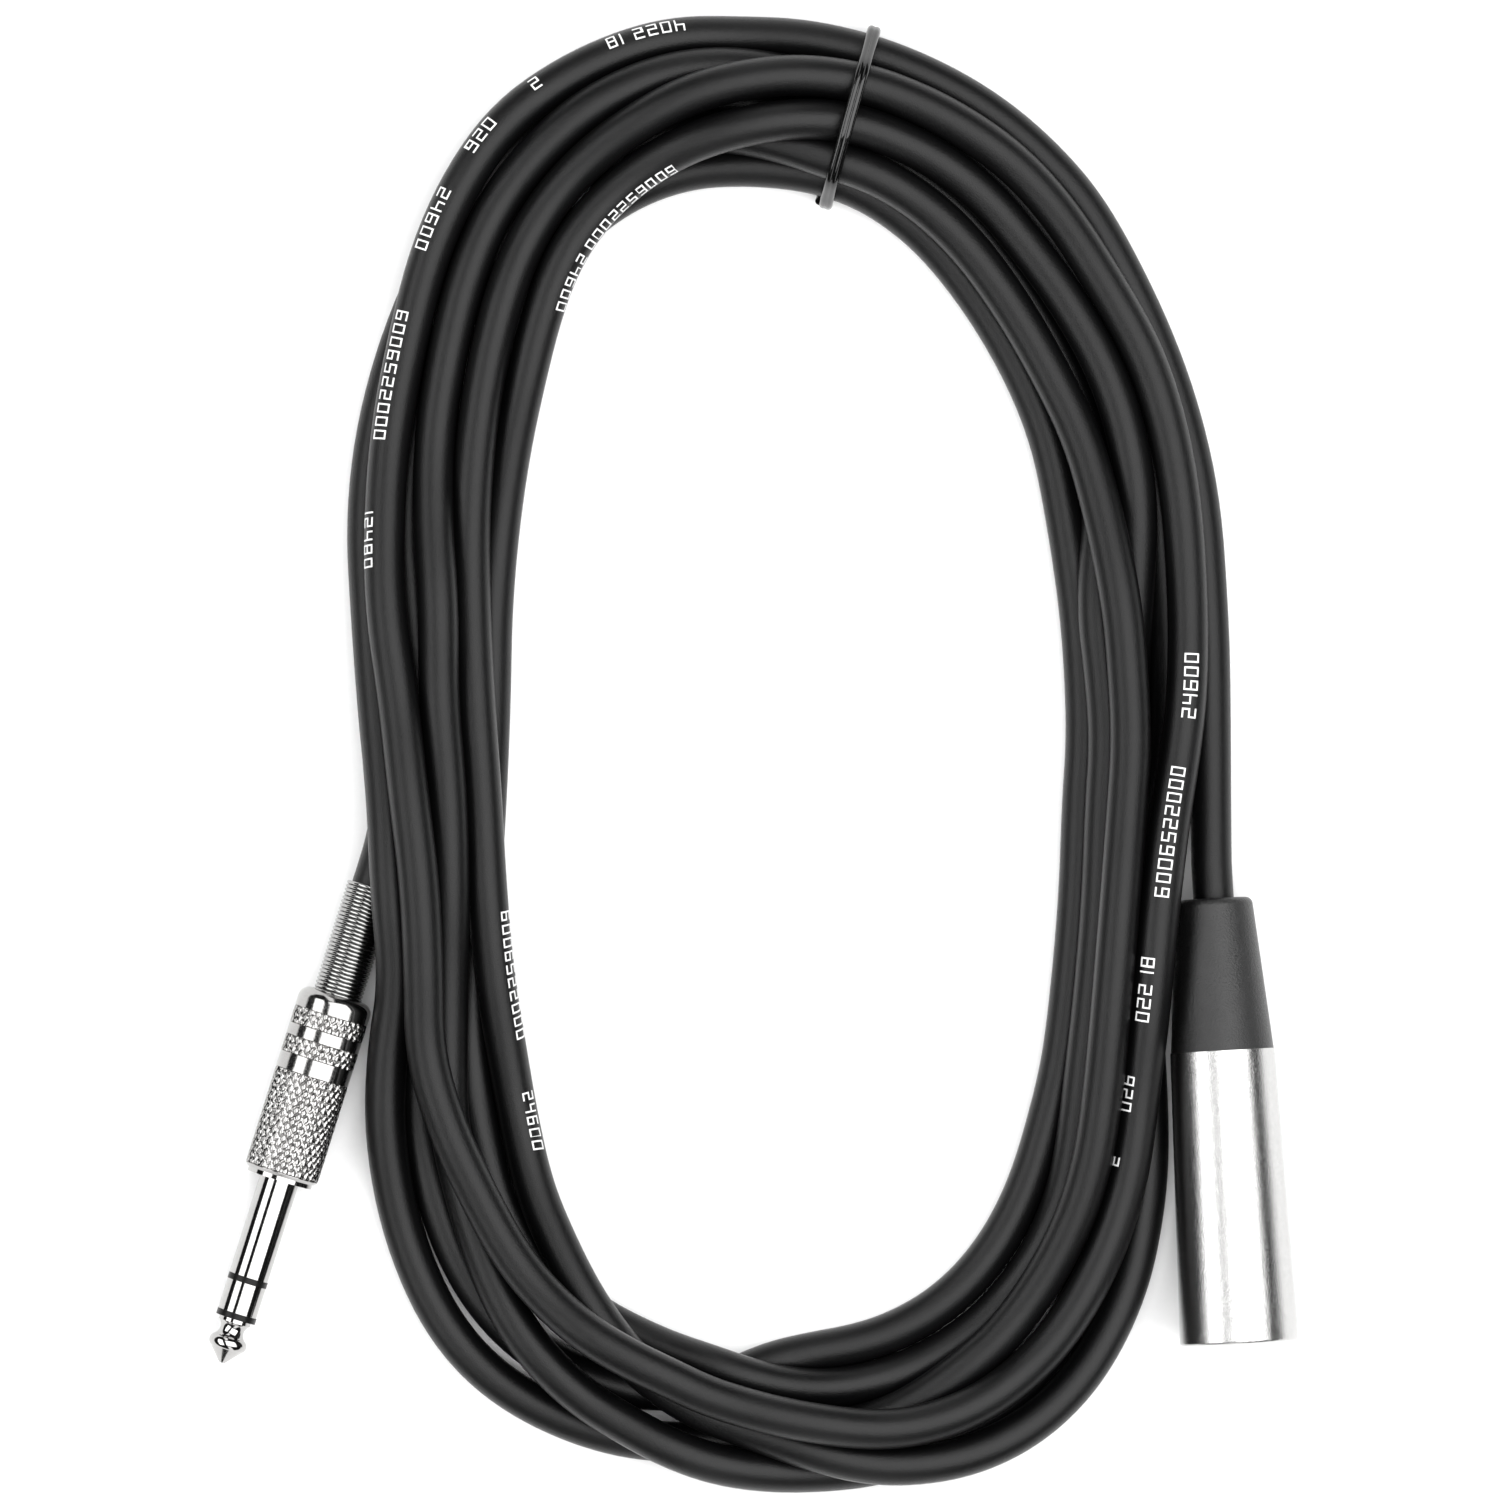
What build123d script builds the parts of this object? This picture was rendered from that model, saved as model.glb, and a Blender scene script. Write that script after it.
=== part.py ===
from build123d import *
import math
import os

# A balanced audio cable, wound into a tall oval coil and tied at the top. One end carries a male
# three-pin XLR connector, the other a quarter-inch stereo phone plug (tip, ring, sleeve).
# Row frame: the coil lies flat on z = 0, +Y runs along the oval, +X across it, +Z up. The origin is
# at the middle of the whole object's footprint. Millimetres.

# ---------------------------------------------------------------- driving dimensions

CABLE_R = 3.25                  # jacket radius
BORE_GAP = 0.3                  # cable to a bore it slides in
FIT_GAP = 0.08                  # threaded and sliding fits, radial

# Coil: closed outlines in plan, counter-clockwise from the right-hand side
COIL_OUTER = [
    (76.0, 12.0), (75.0, 38.0), (68.0, 66.0), (55.5, 89.5), (39.5, 105.0), (19.0, 114.3),
    (-2.5, 117.9), (-20.5, 114.5), (-40.0, 102.5), (-54.0, 81.0), (-62.5, 50.0), (-63.8, 24.0),
    (-61.8, -10.0), (-61.3, -45.0), (-58.5, -80.0), (-47.5, -99.0), (-26.0, -111.5),
    (12.0, -117.9), (39.0, -112.5), (56.5, -96.0), (65.4, -66.0), (71.5, -25.0),
]
COIL_INNER = [
    (51.0, 5.0), (47.5, 39.0), (36.5, 67.0), (13.5, 89.5), (-9.0, 91.5), (-26.0, 81.5),
    (-36.5, 59.0), (-39.5, 20.0), (-40.0, -30.0), (-34.0, -67.0), (-15.5, -93.5), (-4.0, -100.0),
    (17.5, -94.5), (36.0, -80.0), (47.5, -50.0),
]
COIL_HEIGHT = 17.5
COIL_TOP_FILLET = 5.5
COIL_BASE_FILLET = 2.5

# Ridge where the top strands of the coil ride over the phone plug's strain relief
RIDGE_ENDS = (-53.5, 32.0, 8.0), (-51.5, -86.0, 8.0)
RIDGE_MIDDLE = (-52.5, -27.0, 15.5)
RIDGE_R = 6.0

# Twist tie: a plane across the bundle at the top of the oval
TIE_CENTRE = (15.4, 102.2)
TIE_LEAN_DEG = 16.3             # from +Y towards +X, along the tie's width across the bundle
TIE_SPAN = 28.0                 # outside, across the bundle
TIE_HEIGHT = 18.9
TIE_WIRE = 1.4                  # thickness of one wrap
TIE_WRAPS = 2
TIE_CORNER_R = 6.4
TIE_TWIST_R = 0.6
TIE_TWIST_LENGTH = 14.0

# XLR connector, along its own axis: 0 at the shell's front face, negative towards the cable
XLR_FRONT_XY = (77.45, -93.9)
XLR_YAW_DEG = 3.3               # front end leans to +X
SHELL_FRONT_R = 9.5
SHELL_REAR_R = 8.35
SHELL_LENGTH = 46.7
SHELL_LIP_FILLET = 0.5
CUP_R = 8.0
CUP_DEPTH = 13.5
SHELL_BORE_R = 7.4
KEYWAY_WIDTH = 4.6
KEYWAY_DEPTH = 0.8
INSERT_LENGTH = 7.5
PIN_R = 1.2
PIN_SHANK_R = 1.5               # the stouter length held in the insert
PIN_TIP_FILLET = 0.9
PIN_CIRCLE_R = 3.75
PIN_RECESS = 2.0                # pin tips behind the shell's front face
PIN_ANGLES_DEG = {"1": 180.0, "2": 0.0, "3": 270.0}
SOLDER_CUP_LENGTH = 5.0
SOLDER_CUP_R = 0.9
SOLDER_CUP_DEPTH = 3.0
TAB_THICKNESS = 0.4
TAB_WIDTH = 3.2
TAB_MARGIN = 0.8                # past the pin's hole
BOOT_LENGTH = 24.3
BOOT_FRONT_R = 8.2
BOOT_REAR_R = 6.1
BOOT_RIM_FILLET = 1.2
BOOT_SPIGOT_LENGTH = 6.2
BOOT_CAVITY_R = 5.6
BOOT_CAVITY_END = -57.0
CHUCK_FRONT = -28.5
CHUCK_SHOULDER = -40.0
CHUCK_REAR = -55.5
CHUCK_FLANGE_R = 7.2
CHUCK_CAVITY_R = 5.5
CHUCK_JAW_R = (5.3, 4.7)        # at the shoulder and at the rear
CHUCK_SLOT_WIDTH = 0.8
CHUCK_SLOT_MARGIN = 2.0
CHUCK_WALL = 1.5
XLR_JACKET_END = -34.0

# Phone plug, along its own axis: 0 at the barrel's front face, positive towards the tip
PLUG_TIP_XY = (-84.9, -97.2)
PLUG_YAW_DEG = 17.5             # tip leans to -X
BARREL_R = 6.0
BARREL_LENGTH = 30.2
BARREL_BORE_R = 5.0
BARREL_REAR_WALL = 1.5
BARREL_REAR_RIM_R = 1.8
SPRING_GAP = 0.15               # spring to the hole in the barrel's rear wall
BARREL_FRONT_CHAMFER = 0.5
BARREL_GROOVES = [-26.7, -24.1, -22.0, -19.4, -16.5]   # shallow lines that part the knurled bands
BARREL_GROOVE_WIDTH = 0.2
BARREL_GROOVE_DEPTH = 0.12
FINGER_R = 3.175
FINGER_LENGTH = 31.4
FLANGE_R = 5.3
FLANGE_THICKNESS = 0.7
COLLAR_LENGTH = 7.0
INSULATOR_PROUD = 0.06
SLEEVE_END = 17.0
RING_START = 18.0
RING_END = 23.0
TIP_START = 24.0
TIP_COLLAR_R = 2.6
TIP_NECK_R = 1.95
TIP_WAIST_R = 2.5               # between the neck's hollow and the bulb
TIP_BULB_R = 3.1
TIP_STATIONS = {"collar": 0.6, "neck": 1.8, "waist": 3.0, "bulb": 4.1, "cone": 5.0}
TIP_POINT_R = 0.5
TIP_POINT_LENGTH = 0.1
ROD_R = 0.9
TUBE_RADII = [1.35, 1.85, 2.35]                 # tip insulator, ring tube, ring insulator
WASHER_THICKNESS = 1.0
WASHER_R = 3.2
LUG_THICKNESS = 0.4
LUG_TAIL_R = 3.9
LUG_TAIL_WIDTH = 1.8
LUG_TAIL_LENGTH = 3.0
LUG_ANGLES_DEG = {"hot": 30, "cold": 150}
RIVET_R = 1.3
RIVET_LENGTH = 0.8
CLAMP_GRIP = (-24.5, -20.0)
CLAMP_WALL = 0.5
CLAMP_STRIP_WIDTH = 2.4
INNER_TUBE_R = (4.85, 4.4)
INNER_TUBE_SPAN = (-26.5, -8.5)
PLUG_JACKET_END = -18.0
SPRING_WIRE = 0.6
SPRING_R = 4.0
SPRING_LENGTH = 18.4
SPRING_TURNS = 30
SPRING_BASE_R = 4.7
SPRING_BASE_LENGTH = 1.2
SPRING_BASE_GAP = 0.1           # flared end to the barrel's rear wall
SPRING_RIB_HEIGHT = 0.12
SPRING_RIB_FLAT = (0.3, 0.7)    # the rib's crest, in shares of the pitch

# Conductors
CORE_R = 0.6
CORE_SPREAD_R = 1.5
CORE_BEND_R = 1.4
CORE_LEAD = 0.3                 # straight at each end, as a share of the length
SCREEN_END = -13.0              # where the screen lies against the clamp's strip

# Cable tails: straight through the connector and past its mouth, then on through these points
XLR_TRAVEL = 5.0                # how far the boot backs off
XLR_STRAIGHT_SPARE = 1.5
XLR_TAIL_POINTS = [(73.0, 12.0, 3.9)]
PLUG_TRAVEL = 4.5               # how far the barrel and its spring back off
PLUG_STRAIGHT_SPARE = 4.0
PLUG_TAIL_POINTS = [(-57.6, -4.5, 5.4), (-57.0, 5.0, 4.0)]

# Clearances cut into the coil for the connectors
NOTCH_ROOF = 12.9
NOTCH_LEFT = [(-80.0, 3.0), (-53.2, 3.0), (-53.4, -20.0), (-57.4, -36.0), (-61.5, -52.0), (-80.0, -52.0)]
NOTCH_RIGHT = [(90.0, 4.0), (69.4, 4.0), (66.6, -10.0), (65.2, -50.0), (64.4, -75.0), (90.0, -75.0)]


# ---------------------------------------------------------------- helpers

def turned(profile):
    """Solid of revolution about local Z from (radius, z) points."""
    face = Plane.XZ * make_face(Polyline(*profile, close=True))
    return revolve(face, Axis.Z, 360)


def rod(radius, z_low, z_high):
    """Cylinder along local Z."""
    base = (Align.CENTER, Align.CENTER, Align.MIN)
    return Pos(0, 0, z_low) * Cylinder(radius, z_high - z_low, align=base)


def tube(outer_radius, inner_radius, z_low, z_high):
    """Hollow cylinder along local Z."""
    return rod(outer_radius, z_low, z_high) - rod(inner_radius, z_low - 1, z_high + 1)


def corner_radii(points):
    """The largest tangent arc at each inner point: 0.45 of the shorter run over tan(half the turn)."""
    radii = []
    for before, here, after in zip(points, points[1:], points[2:]):
        run_in = Vector(*here) - Vector(*before)
        run_out = Vector(*after) - Vector(*here)
        half_turn = math.radians(run_in.get_angle(run_out)) / 2
        radii.append(0.45 * min(run_in.length, run_out.length) / math.tan(half_turn))
    return radii


def swept_rod(points, radius, bend_radii=None):
    """Round rod along straight runs joined by tangent arcs."""
    path = FilletPolyline(*points, radius=bend_radii or corner_radii(points))
    section = Plane(origin=path @ 0, z_dir=path % 0) * Circle(radius)
    return sweep(section, path=path), path.length


def local_point(plane, x, y, z):
    """Row-frame coordinates of a point given on a connector's plane."""
    return tuple(plane.from_local_coords((x, y, z)))


# ---------------------------------------------------------------- connector planes

shell_taper = math.atan((SHELL_FRONT_R - SHELL_REAR_R) / SHELL_LENGTH)
xlr_yaw = math.radians(XLR_YAW_DEG)
xlr_plane = Plane(
    origin=(*XLR_FRONT_XY, SHELL_FRONT_R * math.cos(shell_taper)),
    x_dir=(math.cos(xlr_yaw), math.sin(xlr_yaw), 0),
    z_dir=(
        math.sin(xlr_yaw) * math.cos(shell_taper),
        -math.cos(xlr_yaw) * math.cos(shell_taper),
        math.sin(shell_taper),
    ),
)

plug_yaw = math.radians(PLUG_YAW_DEG)
plug_forward = Vector(-math.sin(plug_yaw), -math.cos(plug_yaw), 0)
plug_plane = Plane(
    origin=Vector(*PLUG_TIP_XY, BARREL_R) - plug_forward * FINGER_LENGTH,
    x_dir=(math.cos(plug_yaw), -math.sin(plug_yaw), 0),
    z_dir=plug_forward,
)


# ---------------------------------------------------------------- XLR connector (local axis)

BOOT_FRONT = -SHELL_LENGTH
BOOT_REAR = BOOT_FRONT - BOOT_LENGTH
INSERT_REAR = -CUP_DEPTH - INSERT_LENGTH
PIN_TAIL = INSERT_REAR - SOLDER_CUP_LENGTH


def pin_place(number):
    angle = math.radians(PIN_ANGLES_DEG[number])
    return PIN_CIRCLE_R * math.cos(angle), PIN_CIRCLE_R * math.sin(angle)


def make_xlr_shell():
    shell = turned([
        (SHELL_BORE_R, -SHELL_LENGTH), (SHELL_REAR_R, -SHELL_LENGTH), (SHELL_FRONT_R, 0),
        (CUP_R, 0), (CUP_R, -CUP_DEPTH), (SHELL_BORE_R, -CUP_DEPTH),
    ])
    front_edges = shell.edges().filter_by(GeomType.CIRCLE).group_by(Axis.Z)[-1]
    shell = fillet(front_edges, SHELL_LIP_FILLET)
    keyway = Pos(0, CUP_R, -CUP_DEPTH / 2) * Box(KEYWAY_WIDTH, 2 * KEYWAY_DEPTH, CUP_DEPTH + 2)
    return shell - (keyway & rod(CUP_R + KEYWAY_DEPTH, -CUP_DEPTH, 1))


def make_xlr_insert():
    insert = rod(SHELL_BORE_R, INSERT_REAR, -CUP_DEPTH)
    for number in PIN_ANGLES_DEG:
        insert -= Pos(*pin_place(number), 0) * rod(PIN_SHANK_R, INSERT_REAR - 1, 0)
    return insert


def make_xlr_pin(number):
    pin = rod(PIN_R, PIN_TAIL, -PIN_RECESS)
    pin = fillet(pin.edges().group_by(Axis.Z)[-1], PIN_TIP_FILLET)
    pin += rod(PIN_SHANK_R, INSERT_REAR, -CUP_DEPTH)
    pin -= rod(SOLDER_CUP_R, PIN_TAIL - 1, PIN_TAIL + SOLDER_CUP_DEPTH)
    opening = Pos(0, PIN_R, PIN_TAIL) * Box(2 * PIN_R, 2 * PIN_R, SOLDER_CUP_DEPTH)
    return Pos(*pin_place(number), 0) * (pin - opening)


def make_xlr_ground_tab():
    x, y = pin_place("1")
    length = SHELL_BORE_R + x + PIN_R + TAB_MARGIN
    tab = Pos(-SHELL_BORE_R + length / 2, y, INSERT_REAR - TAB_THICKNESS / 2) * Box(
        length, TAB_WIDTH, TAB_THICKNESS)
    tab &= rod(SHELL_BORE_R, INSERT_REAR - 1, INSERT_REAR)
    return tab - Pos(x, y, 0) * rod(PIN_R, INSERT_REAR - 1, INSERT_REAR + 1)


def make_xlr_chuck():
    chuck = turned([
        (CABLE_R + BORE_GAP, CHUCK_REAR), (CHUCK_JAW_R[1], CHUCK_REAR), (CHUCK_JAW_R[0], CHUCK_SHOULDER),
        (CHUCK_FLANGE_R, CHUCK_SHOULDER), (CHUCK_FLANGE_R, CHUCK_FRONT), (CHUCK_CAVITY_R, CHUCK_FRONT),
        (CHUCK_CAVITY_R, CHUCK_SHOULDER + CHUCK_WALL), (CABLE_R + BORE_GAP, CHUCK_SHOULDER + CHUCK_WALL),
    ])
    slot_length = CHUCK_SHOULDER - CHUCK_REAR - CHUCK_SLOT_MARGIN
    for angle in (0, 90):
        slot = Box(2 * CHUCK_FLANGE_R, CHUCK_SLOT_WIDTH, 2 * slot_length)
        chuck -= Pos(0, 0, CHUCK_REAR) * Rot(0, 0, angle + 45) * slot
    return chuck


def make_xlr_boot():
    spigot_front = BOOT_FRONT + BOOT_SPIGOT_LENGTH
    spigot_r = SHELL_BORE_R - FIT_GAP
    mouth_r = CABLE_R + BORE_GAP
    boot = turned([
        (mouth_r, BOOT_REAR), (BOOT_REAR_R, BOOT_REAR), (BOOT_FRONT_R, BOOT_FRONT), (spigot_r, BOOT_FRONT),
        (spigot_r, spigot_front), (BOOT_CAVITY_R, spigot_front), (BOOT_CAVITY_R, BOOT_CAVITY_END),
        (mouth_r, BOOT_CAVITY_END),
    ])
    rear_rim = boot.edges().filter_by(GeomType.CIRCLE).group_by(Axis.Z)[0].sort_by(SortBy.LENGTH)[-1]
    return fillet(rear_rim, BOOT_RIM_FILLET)


def make_core(start, end):
    """One conductor: straight out of the jacket, a slanting run, and straight into its terminal."""
    (x0, y0, z0), (x1, y1, z1) = start, end
    lead = CORE_LEAD * (z1 - z0)
    points = [start, (x0, y0, z0 + lead), (x1, y1, z1 - lead), end]
    bends = [CORE_BEND_R] * 2
    return swept_rod(points, CORE_R, bends)[0]


def core_start(angle_deg, z):
    angle = math.radians(angle_deg)
    return CORE_SPREAD_R * math.cos(angle), CORE_SPREAD_R * math.sin(angle), z


def make_xlr_core(number):
    cup_bottom = PIN_TAIL + SOLDER_CUP_DEPTH
    start = core_start(PIN_ANGLES_DEG[number], XLR_JACKET_END)
    return make_core(start, (*pin_place(number), cup_bottom))


# ---------------------------------------------------------------- phone plug (local axis)

SLEEVE_LUG_BACK = -COLLAR_LENGTH - LUG_THICKNESS
WASHER_BACK_1 = SLEEVE_LUG_BACK - WASHER_THICKNESS
RING_LUG_BACK = WASHER_BACK_1 - LUG_THICKNESS
WASHER_BACK_2 = RING_LUG_BACK - WASHER_THICKNESS
TIP_LUG_BACK = WASHER_BACK_2 - LUG_THICKNESS


def make_trs_tip():
    at = {name: TIP_START + offset for name, offset in TIP_STATIONS.items()}
    collar = (TIP_COLLAR_R, at["collar"])
    waist = (TIP_WAIST_R, at["waist"])
    cone = (TIP_COLLAR_R, at["cone"])
    point = (TIP_POINT_R, FINGER_LENGTH - TIP_POINT_LENGTH)
    outline = make_face(
        Polyline((0, TIP_START), (TIP_COLLAR_R, TIP_START), collar)
        + ThreePointArc(collar, (TIP_NECK_R, at["neck"]), waist)
        + ThreePointArc(waist, (TIP_BULB_R, at["bulb"]), cone)
        + Polyline(cone, point, (0, FINGER_LENGTH), (0, TIP_START))
    )
    head = revolve(Plane.XZ * outline, Axis.Z, 360)
    shank = rod(ROD_R, TIP_LUG_BACK, TIP_START)
    rivet = rod(RIVET_R, TIP_LUG_BACK - RIVET_LENGTH, TIP_LUG_BACK)
    return head + shank + rivet


def make_trs_tip_insulator():
    ring = tube(FINGER_R + INSULATOR_PROUD, ROD_R, RING_END, TIP_START)
    return ring + tube(TUBE_RADII[0], ROD_R, WASHER_BACK_2, RING_END)


def make_trs_ring():
    contact = tube(FINGER_R, TUBE_RADII[0], RING_START, RING_END)
    return contact + tube(TUBE_RADII[1], TUBE_RADII[0], RING_LUG_BACK, RING_START)


def make_trs_ring_insulator():
    ring = tube(FINGER_R + INSULATOR_PROUD, TUBE_RADII[1], SLEEVE_END, RING_START)
    return ring + tube(TUBE_RADII[2], TUBE_RADII[1], SLEEVE_LUG_BACK, SLEEVE_END)


def make_trs_sleeve():
    collar_r = BARREL_BORE_R - FIT_GAP
    sleeve = turned([
        (TUBE_RADII[2], -COLLAR_LENGTH), (collar_r, -COLLAR_LENGTH), (collar_r, 0), (FLANGE_R, 0),
        (FLANGE_R, FLANGE_THICKNESS), (FINGER_R, FLANGE_THICKNESS), (FINGER_R, SLEEVE_END),
        (TUBE_RADII[2], SLEEVE_END),
    ])
    return sleeve


def make_lug(hole_r, z_low, angle_deg):
    """Solder terminal: a washer whose tail is bent back along the plug."""
    reach = Pos(LUG_TAIL_R / 2, 0, z_low + LUG_THICKNESS / 2) * Box(
        LUG_TAIL_R, LUG_TAIL_WIDTH, LUG_THICKNESS)
    tail = Pos(LUG_TAIL_R - LUG_THICKNESS / 2, 0, z_low - LUG_TAIL_LENGTH / 2) * Box(
        LUG_THICKNESS, LUG_TAIL_WIDTH, LUG_TAIL_LENGTH)
    lug = rod(WASHER_R, z_low, z_low + LUG_THICKNESS) + reach + tail
    lug -= rod(hole_r, z_low - 1, z_low + 1)
    return Rot(0, 0, angle_deg) * lug


def make_trs_cable_clamp():
    """Sleeve terminal: a washer behind the collar, a strip, and prongs round the jacket."""
    grip_low, grip_high = CLAMP_GRIP
    strip_outer = CABLE_R + CLAMP_WALL
    grip = tube(strip_outer, CABLE_R, grip_low, grip_high)
    gap_height = grip_high - grip_low + 1
    grip -= Pos(0, CABLE_R, (grip_low + grip_high) / 2) * Box(CLAMP_STRIP_WIDTH, CABLE_R, gap_height)
    strip_length = -COLLAR_LENGTH - grip_low
    strip = Pos(0, -CABLE_R - CLAMP_WALL / 2, -COLLAR_LENGTH - strip_length / 2) * Box(
        CLAMP_STRIP_WIDTH, CLAMP_WALL, strip_length)
    washer = tube(strip_outer, TUBE_RADII[2], SLEEVE_LUG_BACK, -COLLAR_LENGTH)
    return grip + strip + washer


def make_trs_washer(hole_r, z_low):
    return tube(WASHER_R, hole_r, z_low, z_low + WASHER_THICKNESS)


def make_trs_barrel():
    rear = -BARREL_LENGTH
    seat = rear + BARREL_REAR_WALL
    mouth_r = SPRING_R + SPRING_GAP
    barrel = turned([
        (mouth_r, rear), (BARREL_R, rear), (BARREL_R, 0), (BARREL_BORE_R, 0), (BARREL_BORE_R, seat),
        (mouth_r, seat),
    ])
    outside = barrel.edges().filter_by(GeomType.CIRCLE)
    rear_rim = outside.group_by(Axis.Z)[0].sort_by(SortBy.LENGTH)[-1]
    barrel = fillet(rear_rim, BARREL_REAR_RIM_R)
    front_rim = barrel.edges().filter_by(GeomType.CIRCLE).group_by(Axis.Z)[-1].sort_by(SortBy.LENGTH)[-1]
    barrel = chamfer(front_rim, BARREL_FRONT_CHAMFER)
    half_width = BARREL_GROOVE_WIDTH / 2
    for groove in BARREL_GROOVES:
        barrel -= tube(BARREL_R + 1, BARREL_R - BARREL_GROOVE_DEPTH, groove - half_width, groove + half_width)
    return barrel


def make_trs_spring():
    """Close-wound strain relief as a ribbed sleeve, one rib per turn, flared where the barrel holds it."""
    rear = -BARREL_LENGTH - SPRING_LENGTH
    base_back = -BARREL_LENGTH + BARREL_REAR_WALL + SPRING_BASE_GAP
    base_front = base_back + SPRING_BASE_LENGTH
    inner_r = SPRING_R - SPRING_WIRE
    root_r = SPRING_R - SPRING_RIB_HEIGHT
    rise, fall = SPRING_RIB_FLAT
    pitch = (base_back - rear) / SPRING_TURNS
    profile = [(inner_r, rear)]
    for turn in range(SPRING_TURNS):
        start = rear + turn * pitch
        profile += [(root_r, start), (SPRING_R, start + rise * pitch), (SPRING_R, start + fall * pitch)]
    profile += [(root_r, base_back), (SPRING_BASE_R, base_back), (SPRING_BASE_R, base_front)]
    profile.append((inner_r, base_front))
    return turned(profile)


def make_trs_core(angle_deg, end_radius, end_z):
    """One conductor, from the jacket's end to its terminal."""
    start = core_start(angle_deg, PLUG_JACKET_END)
    angle = math.radians(angle_deg)
    end = (end_radius * math.cos(angle), end_radius * math.sin(angle), end_z)
    return make_core(start, end)


# ---------------------------------------------------------------- cable

def tail_points(plane, jacket_end, straight_end, rest):
    """Straight through the connector and past its mouth, then gently to the coil."""
    return [local_point(plane, 0, 0, jacket_end), local_point(plane, 0, 0, straight_end), *rest]


def make_tail(name, points, coil):
    radii = corner_radii(points)
    solid, length = swept_rod(points, CABLE_R)
    ratio = solid.volume / (math.pi * CABLE_R ** 2 * length)
    print(f"{name}: length {length:.1f}, radii {[round(r, 1) for r in radii]}, volume ratio {ratio:.4f}")
    return solid - coil


def plan_prism(outline, z_low, z_high):
    """Straight-sided block over a plan outline."""
    face = make_face(Polyline(*outline, close=True))
    return Pos(0, 0, z_low) * extrude(face, z_high - z_low)


def make_coil_blank():
    """The coil's outer shape: an oval ring with round shoulders and a ridge on its left side."""
    outline = make_face(Spline(*COIL_OUTER, periodic=True)) - make_face(Spline(*COIL_INNER, periodic=True))
    ring = extrude(outline, COIL_HEIGHT)
    ring = fillet(ring.faces().sort_by(Axis.Z)[-1].edges(), COIL_TOP_FILLET)
    ring = fillet(ring.faces().sort_by(Axis.Z)[0].edges(), COIL_BASE_FILLET)
    path = ThreePointArc(RIDGE_ENDS[0], RIDGE_MIDDLE, RIDGE_ENDS[1])
    ridge = sweep(Plane(origin=path @ 0, z_dir=path % 0) * Circle(RIDGE_R), path=path)
    return ring + ridge


def make_tie(blank):
    """Two wraps side by side round the bundle, and the twisted ends tucked under it."""
    lean = math.radians(TIE_LEAN_DEG)
    across = Vector(math.sin(lean), math.cos(lean), 0)
    along = Vector(math.cos(lean), -math.sin(lean), 0)
    band_width = TIE_WRAPS * TIE_WIRE
    start = Vector(*TIE_CENTRE, TIE_HEIGHT / 2) - along * (band_width / 2)
    plane = Plane(origin=start, x_dir=across, z_dir=along)
    inner_span = TIE_SPAN - 2 * TIE_WIRE
    inner_height = TIE_HEIGHT - 2 * TIE_WIRE
    loop = RectangleRounded(TIE_SPAN, TIE_HEIGHT, TIE_CORNER_R) - RectangleRounded(
        inner_span, inner_height, TIE_CORNER_R - TIE_WIRE)
    band = plane * extrude(loop, band_width)
    twist_start = Vector(*TIE_CENTRE, TIE_WIRE / 2)
    twist = Plane(origin=twist_start, z_dir=along) * rod(TIE_TWIST_R, 0, TIE_TWIST_LENGTH)
    return band + twist


def make_cable(parts):
    blank = make_coil_blank()
    tie = make_tie(blank)
    coil = blank - tie
    coil -= plan_prism(NOTCH_LEFT, -1, NOTCH_ROOF)
    coil -= plan_prism(NOTCH_RIGHT, -1, COIL_HEIGHT + 1)
    xlr_straight_end = BOOT_REAR - XLR_TRAVEL - XLR_STRAIGHT_SPARE
    plug_straight_end = -BARREL_LENGTH - SPRING_LENGTH - PLUG_TRAVEL - PLUG_STRAIGHT_SPARE
    xlr_route = tail_points(xlr_plane, XLR_JACKET_END, xlr_straight_end, XLR_TAIL_POINTS)
    plug_route = tail_points(plug_plane, PLUG_JACKET_END, plug_straight_end, PLUG_TAIL_POINTS)
    parts["cable_coil"] = coil
    parts["twist_tie"] = tie
    parts["cable_tail_xlr"] = make_tail("cable_tail_xlr", xlr_route, coil)
    parts["cable_tail_trs"] = make_tail("cable_tail_trs", plug_route, coil)
    for name, route in (("xlr", xlr_route), ("trs", plug_route)):
        print(name, "route", [tuple(round(v, 2) for v in point) for point in route])


# ---------------------------------------------------------------- assembly

def make_xlr(parts):
    local = {
        "xlr_shell": make_xlr_shell(),
        "xlr_insert": make_xlr_insert(),
        "xlr_ground_tab": make_xlr_ground_tab(),
        "xlr_chuck": make_xlr_chuck(),
        "xlr_boot": make_xlr_boot(),
        "xlr_wire_screen": make_xlr_core("1"),
        "xlr_wire_hot": make_xlr_core("2"),
        "xlr_wire_cold": make_xlr_core("3"),
    }
    for number in PIN_ANGLES_DEG:
        local[f"xlr_pin_{number}"] = make_xlr_pin(number)
    for name, solid in local.items():
        parts[name] = xlr_plane * solid


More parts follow.
